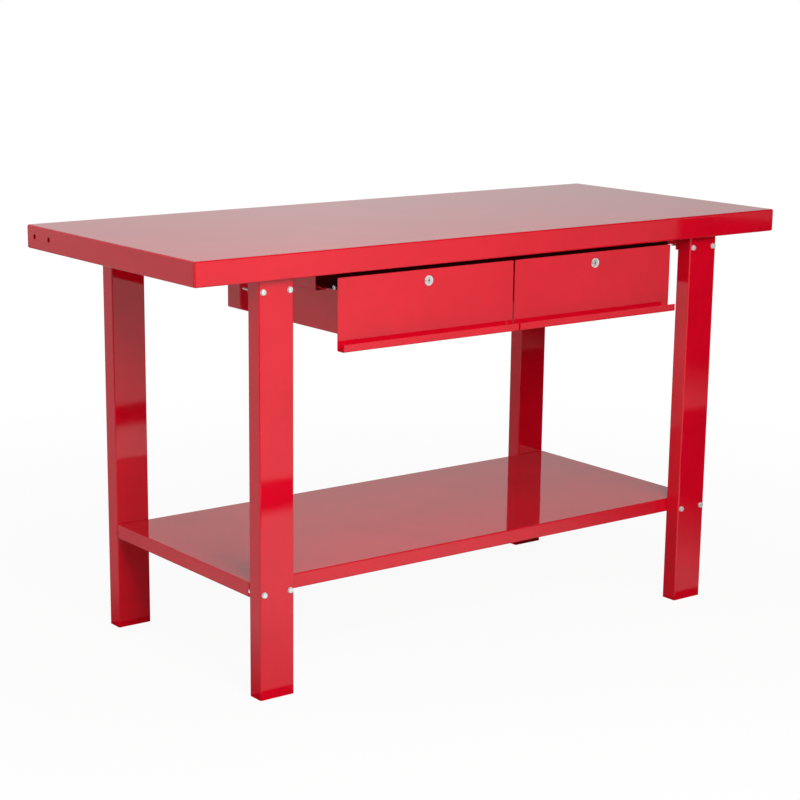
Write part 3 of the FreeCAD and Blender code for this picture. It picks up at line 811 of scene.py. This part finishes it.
def reshape(n, sides, rows, rule):
    # a unit cylinder whose points are moved to the radius and height that the rule gives
    drum = n.add("GeometryNodeMeshCylinder", fill_type="NGON")
    for key, value in (("Vertices", sides), ("Side Segments", rows), ("Radius", 1.0), ("Depth", 1.0)):
        n.feed(drum.inputs[key], value)
    x, y, z = n.split(n.add("GeometryNodeInputPosition").outputs[0])
    angle = n.math("ARCTAN2", y, x)
    radius, level = rule(angle, n.math("ADD", z, 0.5))
    spot = n.add("ShaderNodeCombineXYZ")
    n.join(n.math("MULTIPLY", n.math("COSINE", angle), radius), spot.inputs[0])
    n.join(n.math("MULTIPLY", n.math("SINE", angle), radius), spot.inputs[1])
    n.join(level, spot.inputs[2])
    move = n.add("GeometryNodeSetPosition")
    n.join(drum.outputs["Mesh"], move.inputs["Geometry"])
    n.join(spot.outputs[0], move.inputs["Position"])
    return move.outputs[0]


fastenerShape = {
    "hexPoints": 48,
    "hexRows": 8,
    "chamferStart": 0.475,   # radius at the very end, in widths across flats
    "chamferSlope": 1.7,
    "overCut": 0.3,          # how far a cutter stands out, in heads or nuts
    "recessSides": 32,
    "discRows": 3,
    "washerSides": 40,
    "washerTaper": 0.96,
    "shankSides": 24,
    "shortestThread": 0.0005,
    "threadSides": 16,
    "rowsPerTurn": 5.0,
    "tipRadius": 0.72,       # the rod's end, in shank radii
    "sharpAngle": 32.0,
}


def hexBody(n, flats, height, bothEnds):
    # a hexagon standing on z = 0 with its end corners turned away
    f = fastenerShape

    def rule(angle, share):
        swell = n.math("COSINE", n.math("MULTIPLY", share, math.pi))
        eased = n.math("SUBTRACT", 0.5, n.math("MULTIPLY", 0.5, swell))
        level = n.math("MULTIPLY", eased, height)
        swing = n.math("SUBTRACT", n.math("FLOORED_MODULO", angle, math.pi / 3), math.pi / 6)
        flat = n.math("DIVIDE", n.math("MULTIPLY", flats, 0.5), n.math("COSINE", swing))
        toEnd = n.math("SUBTRACT", height, level)
        if bothEnds:
            toEnd = n.math("MINIMUM", toEnd, level)
        cap = n.math("MULTIPLY_ADD", toEnd, f["chamferSlope"], n.math("MULTIPLY", flats, f["chamferStart"]))
        return n.math("MINIMUM", flat, cap), level
    return reshape(n, f["hexPoints"], f["hexRows"], rule)


def plainDisc(n, radius, start, end, sides, taper):
    # a round disc from start to end, a little narrower at its end
    def rule(angle, share):
        level = n.math("MULTIPLY_ADD", share, n.math("SUBTRACT", end, start), start)
        toEnd = n.math("ABSOLUTE", n.math("SUBTRACT", end, level))
        cap = n.math("ADD", n.math("MULTIPLY", radius, taper), toEnd)
        return n.math("MINIMUM", radius, cap), level
    return reshape(n, sides, fastenerShape["discRows"], rule)


def threadedRod(n, radius, start, end, pitch, depth):
    # a true helix: the depth of the thread depends on height and angle together
    f = fastenerShape
    run = n.math("SUBTRACT", start, end)
    rows = n.math("ROUND", n.math("MULTIPLY", n.math("DIVIDE", run, pitch), f["rowsPerTurn"]))

    def rule(angle, share):
        level = n.math("MULTIPLY_ADD", share, run, end)
        turn = n.math("SUBTRACT", n.math("MULTIPLY", n.math("DIVIDE", level, pitch), 2 * math.pi), angle)
        groove = n.math("MULTIPLY", n.math("MULTIPLY_ADD", n.math("COSINE", turn), 0.5, 0.5), depth)
        tip = n.math("ADD", n.math("MULTIPLY", radius, f["tipRadius"]), n.math("SUBTRACT", level, end))
        return n.math("MINIMUM", n.math("SUBTRACT", radius, groove), tip), level
    return reshape(n, f["threadSides"], rows, rule)


def placeOnPoints(n, inputs, body):
    # one copy for each point, turned by a different amount about its own axis
    aim = n.add("FunctionNodeAlignRotationToVector", axis="Z")
    n.join(inputs["outward"], aim.inputs["Vector"])
    copies = n.add("GeometryNodeInstanceOnPoints")
    n.join(inputs["points"], copies.inputs["Points"])
    n.join(body, copies.inputs["Instance"])
    n.join(aim.outputs[0], copies.inputs["Rotation"])
    chance = n.add("FunctionNodeRandomValue", data_type="FLOAT")
    floats = [socket for socket in chance.inputs if socket.enabled and socket.type == "VALUE"]
    floats[0].default_value = 0.0
    floats[1].default_value = math.pi / 3
    n.join(inputs["seed"], chance.inputs["Seed"])
    spin = n.add("ShaderNodeCombineXYZ")
    n.join([o for o in chance.outputs if o.enabled][0], spin.inputs[2])
    turn = n.add("GeometryNodeRotateInstances")
    n.join(copies.outputs[0], turn.inputs["Instances"])
    n.join(spin.outputs[0], turn.inputs["Rotation"])
    real = n.add("GeometryNodeRealizeInstances")
    n.join(turn.outputs[0], real.inputs[0])
    coat = n.add("GeometryNodeSetMaterial")
    n.join(real.outputs[0], coat.inputs["Geometry"])
    n.join(inputs["finish"], coat.inputs["Material"])
    n.join(coat.outputs[0], n.add("NodeGroupOutput").inputs[0])


def takeOut(n, body, hole):
    cut = n.add("GeometryNodeMeshBoolean", operation="DIFFERENCE", solver="EXACT")
    n.join(body, cut.inputs["Mesh 1"])
    n.join(hole, cut.inputs["Mesh 2"])
    return cut.outputs["Mesh"]


def makeBoltTree(sizes):
    tree = bpy.data.node_groups.new("hexBolts", "GeometryNodeTree")
    names = namedInputs(tree, sizes)
    n = NodeSketch(tree)
    inputs = n.add("NodeGroupInput").outputs
    f = fastenerShape
    head = hexBody(n, inputs["acrossFlats"], inputs["headHeight"], False)
    recessFloor = n.math("SUBTRACT", inputs["headHeight"], inputs["recessDepth"])
    above = n.math("MULTIPLY", inputs["headHeight"], 1 + f["overCut"])
    recess = plainDisc(n, inputs["recessRadius"], recessFloor, above, f["recessSides"], 1.0)
    head = takeOut(n, head, recess)
    washer = plainDisc(n, inputs["washerRadius"], 0.0, inputs["washerHeight"],
                       f["washerSides"], f["washerTaper"])
    shoulder = n.math("SUBTRACT", inputs["threadLength"], inputs["shankLength"])
    shoulder = n.math("MINIMUM", -f["shortestThread"], shoulder)
    shank = plainDisc(n, inputs["shankRadius"], 0.0, shoulder, f["shankSides"], 1.0)
    end = n.math("MULTIPLY", inputs["shankLength"], -1.0)
    thread = threadedRod(n, inputs["shankRadius"], shoulder, end,
                         inputs["threadPitch"], inputs["threadDepth"])
    whole = n.add("GeometryNodeJoinGeometry")
    for part in (head, washer, shank, thread):
        n.join(part, whole.inputs[0])
    placeOnPoints(n, inputs, whole.outputs[0])
    return tree, names


def makeNutTree(sizes):
    tree = bpy.data.node_groups.new("hexNuts", "GeometryNodeTree")
    names = namedInputs(tree, sizes)
    n = NodeSketch(tree)
    inputs = n.add("NodeGroupInput").outputs
    f = fastenerShape
    body = hexBody(n, inputs["acrossFlats"], inputs["nutHeight"], True)
    above = n.math("MULTIPLY", inputs["nutHeight"], 1 + f["overCut"])
    below = n.math("MULTIPLY", inputs["nutHeight"], -f["overCut"])
    body = takeOut(n, body, plainDisc(n, inputs["holeRadius"], below, above, f["shankSides"], 1.0))
    placeOnPoints(n, inputs, body)
    return tree, names


legBolt = {
    "acrossFlats": 0.010,
    "headHeight": 0.0042,
    "washerRadius": 0.0061,
    "washerHeight": 0.0012,
    "recessRadius": 0.0025,
    "recessDepth": 0.0008,
    "shankRadius": 0.003,
    "threadPitch": 0.001,
    "threadDepth": 0.0005,
    "threadLength": 0.024,
    "shankLength": 0.050,
    "seed": 3,
}
smallBolt = dict(legBolt, acrossFlats=0.008, headHeight=0.0035, washerRadius=0.0039, washerHeight=0.0006,
                 recessRadius=0.0020, shankRadius=0.0025, threadPitch=0.0008, threadDepth=0.0004, seed=5)
legNut = {"acrossFlats": 0.010, "nutHeight": 0.005, "holeRadius": 0.0029, "seed": 7}
smallNut = {"acrossFlats": 0.008, "nutHeight": 0.004, "holeRadius": 0.0024, "seed": 11}

boltTree, boltInputs = makeBoltTree(legBolt)
nutTree, nutInputs = makeNutTree(legNut)


def fastenerSeats(nodeName, axis, facing, rise):
    # each loose solid's seat, the way its head or nut stands, and the length behind the seat
    boxes = solidBoxes(nodeName)
    middle = sum((low[axis] + high[axis]) / 2 for low, high in boxes) / len(boxes)
    batches = {}
    for low, high in boxes:
        centre = (low + high) / 2
        sign = facing
        if axis < 2:
            sign *= 1 if centre[axis] > middle else -1
        outward = Vector([sign if i == axis else 0 for i in range(3)])
        extent = high[axis] - low[axis]
        key = (tuple(outward), round(extent - rise, 4))
        batches.setdefault(key, []).append(centre + outward * (extent / 2 - rise))
    return batches


def makeFasteners(name, nodeName, body, sizes, axis, facing):
    # facing: 1 away from the group's middle, -1 towards it; along z it is the way itself
    isBolt = "shankLength" in sizes
    tree, names = (boltTree, boltInputs) if isBolt else (nutTree, nutInputs)
    rise = sizes["headHeight"] if isBolt else sizes["nutHeight"]
    bm = bmesh.new()
    for (outward, length), seats in fastenerSeats(nodeName, axis, facing, rise).items():
        mesh = bpy.data.meshes.new("seats")
        mesh.from_pydata(seats, [], [])
        points = bpy.data.objects.new("seats", mesh)
        bpy.context.scene.collection.objects.link(points)
        modifier = points.modifiers.new("fasteners", "NODES")
        modifier.node_group = tree
        values = dict(sizes, outward=outward, finish=zinc)
        if isBolt:
            values["shankLength"] = length
            values["threadLength"] = min(sizes["threadLength"], length - fastenerShape["shortestThread"])
        for key, value in values.items():
            modifier[names[key]] = value
        settle(points)
        bm.from_mesh(points.data)
        bpy.data.objects.remove(points)
    piece = makePiece(name, bm, zinc)
    for polygon in piece.data.polygons:
        polygon.use_smooth = True
    piece.data.set_sharp_from_angle(angle=math.radians(fastenerShape["sharpAngle"]))
    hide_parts(nodeName)
    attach(piece, body)


for row in (
        ("topBolts", "top_bolts", "bench", legBolt, 1, 1),
        ("topNuts", "top_nuts", "bench", legNut, 1, -1),
        ("shelfBolts", "shelf_bolts", "bench", legBolt, 1, 1),
        ("shelfNuts", "shelf_nuts", "bench", legNut, 1, -1),
        ("railScrews", "rail_screws", "bench", smallBolt, 2, -1),
        ("railNuts", "rail_nuts", "bench", smallNut, 2, 1),
        ("leftCornerBolts", "left_corner_bolts", "left_drawer", smallBolt, 0, 1),
        ("leftCornerNuts", "left_corner_nuts", "left_drawer", smallNut, 0, -1),
        ("rightCornerBolts", "right_corner_bolts", "right_drawer", smallBolt, 0, 1),
        ("rightCornerNuts", "right_corner_nuts", "right_drawer", smallNut, 0, -1)):
    makeFasteners(*row)
print("bolts and nuts made")

softSettings = {
    "merge": 0.000001,
    "flat": 0.5,      # degrees between faces that count as one
    "edgeRound": 0.0002,
    "sharpAngle": 38.0,
}


def softCopy(nodeName, s):
    # the node's own mesh, merged, with its flats whole again and its edges eased
    node = frame["nodes"][nodeName]
    bm = bmesh.new()
    bm.from_mesh(node.data)
    bm.transform(node.matrix_world)
    bmesh.ops.remove_doubles(bm, verts=bm.verts, dist=s["merge"])
    bmesh.ops.dissolve_limit(bm, angle_limit=math.radians(s["flat"]), verts=bm.verts, edges=bm.edges)
    words = nodeName.split("_")
    entry = next(e for e in frame["record"]["subparts"] if e["node"] == nodeName)
    body = next(b for b, names in frame["record"]["behaviour"]["bodies"].items() if nodeName in names)
    name = words[0] + "".join(w.title() for w in words[1:])
    piece = makePiece(name, bm, slotFinish[entry["material_slot"]])
    softEdges(piece, s["edgeRound"], s["sharpAngle"])
    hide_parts(nodeName)
    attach(piece, body)


kept = ["top_stiffener_front", "top_stiffener_rear", "keeper_bar", "shelf_stiffener", "rail_glides"]
for side in ("left", "right"):
    kept += ["bracket_front_" + side, "bracket_rear_" + side]
    kept += ["rail_" + side + "_outer", "rail_" + side + "_inner"]
    kept += [side + "_" + name for name in ("drawer_body", "corner_brackets", "drawer_glides",
                                            "lock_nut", "lock_cam", "lock_screw")]
for nodeName in kept:
    softCopy(nodeName, softSettings)
print("inner sheet parts made")

stageSettings = {
    "floorHalf": 6.0,
    "floorColour": (0.9, 0.9, 0.9),
    "cameraShare": 0.94,
    "cameraFade": (0.9, 2.4),
    "ambient": 0.0,
    # what the paint mirrors: (degrees round from the front, positive to the right, strength)
    "mirror": ((-180, 0.71), (-151, 0.70), (-120, 0.68), (-58, 0.66), (-48, 0.05), (-25, 0.05), (-14, 0.75),
               (10, 1.00), (38, 0.95), (46, 0.50), (52, 0.012), (100, 0.012), (125, 0.50), (135, 0.64),
               (145, 0.75), (151, 0.71), (180, 0.71)),
    "skyFade": (0.12, 0.28),
    "skyShare": 0.90,
    # floor strengths for mirror rays, by place across the floor: painted light and shade, dimmer to the
    # right and nearer the bench, darkest under it
    "floorFront": ((-6.0, 0.85), (-0.6, 0.92), (-0.25, 1.15), (0.35, 1.12), (0.67, 0.80), (0.96, 0.25),
                   (1.20, 0.0)),
    "frontFade": (-0.9, -0.36),
    "frontShare": 0.72,
    "floorFar": ((-6.0, 0.60), (-3.5, 0.60), (-3.2, 0.04), (-0.95, 0.04), (-0.75, 0.60), (2.0, 0.50),
                 (2.6, 0.0)),
    "farEdge": 0.02,
    "floorBehind": ((-1.5, 0.68), (-0.75, 0.67), (-0.55, 0.54), (-0.40, 0.42), (0.4, 0.40)),
    "behindSpan": (-1.5, 0.5),
    "behindSlant": 0.5,
    "behindFade": (-0.45, 0.1),
    "shadowUnder": 0.12,
    "underFront": (-0.341, -0.329),
    "underBack": (0.35, 0.75),
    "underSide": (0.62, 0.85),
    # painted shadow for mirror rays: dark where the floor lies against the front of each foot
    "footInner": (0.500, 0.508),
    "footOuter": (0.617, 0.625),
    "footShadowBands": ((-0.332, -0.250), (0.222, 0.300)),
    "footSoft": 0.006,
    "boardPlace": -1.72,
    "boardHeight": 1.7,
    "board": ((-0.75, 1.03), (0.40, 1.02), (0.62, 0.93), (0.79, 0.82), (1.04, 0.71), (1.27, 0.60),
              (1.60, 0.56), (1.75, 0.50), (1.87, 0.45)),
    "darkBand": (-1.48, -1.40),
}


def ramp(n, fac, stops):
    # a piecewise line through (place, value) pairs, places from 0 to 1
    node = n.add("ShaderNodeValToRGB")
    n.join(fac, node.inputs[0])
    points = node.color_ramp.elements
    while len(points) < len(stops):
        points.new(0.5)
    scale = max(value for place, value in stops)
    for point, (place, value) in zip(points, stops):
        point.position = place
        point.color = (value / scale, value / scale, value / scale, 1)
    return n.math("MULTIPLY", node.outputs["Color"], scale)


def placed(stops, low, high):
    return [((place - low) / (high - low), value) for place, value in stops]


def stageSheet(name, corners):
    # a flat sheet of the stage and the node sketch of its paper
    mesh = bpy.data.meshes.new(name)
    mesh.from_pydata(corners, [], [range(len(corners))])
    sheet = bpy.data.objects.new(name, mesh)
    bpy.context.scene.collection.objects.link(sheet)
    material = bpy.data.materials.new(name + "Paper")
    material.use_nodes = True
    mesh.materials.append(material)
    return sheet, NodeSketch(material.node_tree)


def mirrorOnly(n, strength, shown):
    # mirror rays meet the given glow; every other ray meets the shown shader
    glow = n.add("ShaderNodeEmission")
    n.join(strength, glow.inputs["Strength"])
    either = n.add("ShaderNodeMixShader")
    n.join(n.add("ShaderNodeLightPath").outputs["Is Glossy Ray"], either.inputs[0])
    n.join(shown, either.inputs[1])
    n.join(glow.outputs[0], either.inputs[2])
    n.join(either.outputs[0], n.add("ShaderNodeOutputMaterial").inputs["Surface"])


def makeBoard(s):
    # a standing board in front that only mirror rays see: it glows, dimmer to the right, as a painted
    # reflection of a lit white board
    left, right = s["board"][0][0], s["board"][-1][0]
    y, top = s["boardPlace"], s["boardHeight"]
    board, n = stageSheet("board", [(left, y, top), (right, y, top), (right, y, 0), (left, y, 0)])
    across = n.rise(n.split(n.add("ShaderNodeTexCoord").outputs["Object"])["X"], left, right)
    strength = ramp(n, across, placed(s["board"], left, right))
    mirrorOnly(n, strength, n.add("ShaderNodeBsdfTransparent").outputs[0])
    board.visible_camera = False
    board.visible_diffuse = False
    board.visible_shadow = False


def floorGlow(n, s, x, y):
    # how bright the floor looks in the paint, place by place: painted light, with painted shadow under the
    # bench and against the front feet
    h = s["floorHalf"]
    across = n.rise(x, -h, h)
    front = ramp(n, across, placed(s["floorFront"], -h, h))
    front = n.math("MULTIPLY", front, n.spread(y, 1.0, s["frontShare"], *s["frontFade"]))
    front = n.math("MULTIPLY", front, n.rise(y, *s["darkBand"]))
    far = ramp(n, across, placed(s["floorFar"], -h, h))
    beyond = n.fall(y, s["boardPlace"] - s["farEdge"], s["boardPlace"])
    front = n.choose(beyond, front, far)
    low, high = s["behindSpan"]
    slant = n.math("MULTIPLY_ADD", y, s["behindSlant"], x)
    behind = ramp(n, n.rise(slant, low, high), placed(s["floorBehind"], low, high))
    glow = n.choose(n.rise(y, *s["behindFade"]), front, behind)
    sides = n.math("ABSOLUTE", x)
    # painted shadow under the bench, seen only in mirror rays
    depth = n.math("MULTIPLY", n.rise(y, *s["underFront"]), n.fall(y, *s["underBack"]))
    shadedUnder = n.math("MULTIPLY", n.fall(sides, *s["underSide"]), depth)
    glow = n.choose(shadedUnder, glow, s["shadowUnder"])
    # painted contact shadow in front of each foot, seen only in mirror rays
    beside = n.math("MULTIPLY", n.rise(sides, *s["footInner"]), n.fall(sides, *s["footOuter"]))
    soft = s["footSoft"]
    for start, end in s["footShadowBands"]:
        near = n.math("MULTIPLY", n.rise(y, start, start + soft), n.fall(y, end, end + soft))
        glow = n.choose(n.math("MULTIPLY", near, beside), glow, 0.0)
    return glow


def makeFloor(s):
    h = s["floorHalf"]
    floor, n = stageSheet("floor", [(-h, -h, 0), (h, -h, 0), (h, h, 0), (-h, h, 0)])
    place = n.add("ShaderNodeTexCoord").outputs["Object"]
    x, y = n.split(place)[:2]
    diffuse = n.add("ShaderNodeBsdfDiffuse")
    diffuse.inputs["Color"].default_value = (*s["floorColour"], 1)
    # white to the eye, and whiter away from the bench, with the shadow left in
    away = n.add("ShaderNodeVectorMath", operation="LENGTH")
    n.join(place, away.inputs[0])
    share = n.spread(away.outputs["Value"], s["cameraShare"], 1.0, *s["cameraFade"])
    shown = n.add("ShaderNodeMixShader")
    n.join(n.math("MULTIPLY", n.add("ShaderNodeLightPath").outputs["Is Camera Ray"], share), shown.inputs[0])
    n.join(diffuse.outputs[0], shown.inputs[1])
    n.join(n.add("ShaderNodeEmission").outputs[0], shown.inputs[2])
    mirrorOnly(n, floorGlow(n, s, x, y), shown.outputs[0])


def makeWorld(s):
    world = bpy.data.worlds.new("studio")
    bpy.context.scene.world = world
    world.use_nodes = True
    n = NodeSketch(world.node_tree)
    back = n.add("ShaderNodeBackground")
    back.inputs["Color"].default_value = (1, 1, 1, 1)
    path = n.add("ShaderNodeLightPath")
    x, y, z = n.split(n.add("ShaderNodeTexCoord").outputs["Generated"])
    angle = n.math("ARCTAN2", x, n.math("MULTIPLY", y, -1.0))
    share = n.rise(angle, -math.pi, math.pi)
    mirror = ramp(n, share, placed(s["mirror"], -180, 180))
    mirror = n.math("MULTIPLY", mirror, n.spread(z, 1.0, s["skyShare"], *s["skyFade"]))
    seen = n.choose(path.outputs["Is Glossy Ray"], s["ambient"], mirror)
    n.join(n.choose(path.outputs["Is Camera Ray"], seen, 1.0), back.inputs["Strength"])
    n.join(back.outputs[0], n.add("ShaderNodeOutputWorld").inputs["Surface"])


# place, target, width and height, watts
lampSettings = {
    "frontLamp": ((0.2, -3.5, 2.2), (0, 0, 0.5), (2.0, 2.0), 25.4),
    "nearLamp": ((-0.8, -2.2, 1.7), (0, 0, 0.7), (1.0, 1.0), 34.8),
    "highLamp": ((-2.0, -2.2, 3.2), (0, 0, 0.5), (2.0, 2.0), 32.4),
    "sideLamp": ((-2.4, 0.6, 1.3), (0, 0, 0.6), (1.2, 1.2), 6.4),
    "rearLamp": ((-3.0, 2.5, 1.5), (0, 0, 0.5), (2.0, 2.0), 24.5),
    "rightLamp": ((2.8, 0.3, 0.30), (0, 0, 0.45), (1.4, 0.5), 11.0),
    "topLamp": ((0.0, 0.8, 3.5), (0, 0, 0.5), (3.0, 3.0), 23.9),
}


def makeLamp(name, place, target, size, power):
    data = bpy.data.lights.new(name, "AREA")
    data.shape = "RECTANGLE"
    data.size, data.size_y = size
    data.energy = power
    lamp = bpy.data.objects.new(name, data)
    lamp.location = place
    lamp.rotation_euler = (Vector(target) - Vector(place)).to_track_quat("-Z", "Y").to_euler()
    lamp.visible_glossy = False
    bpy.context.scene.collection.objects.link(lamp)


makeFloor(stageSettings)
makeBoard(stageSettings)
makeWorld(stageSettings)
for name, lamp in lampSettings.items():
    makeLamp(name, *lamp)
print("stage and light made")
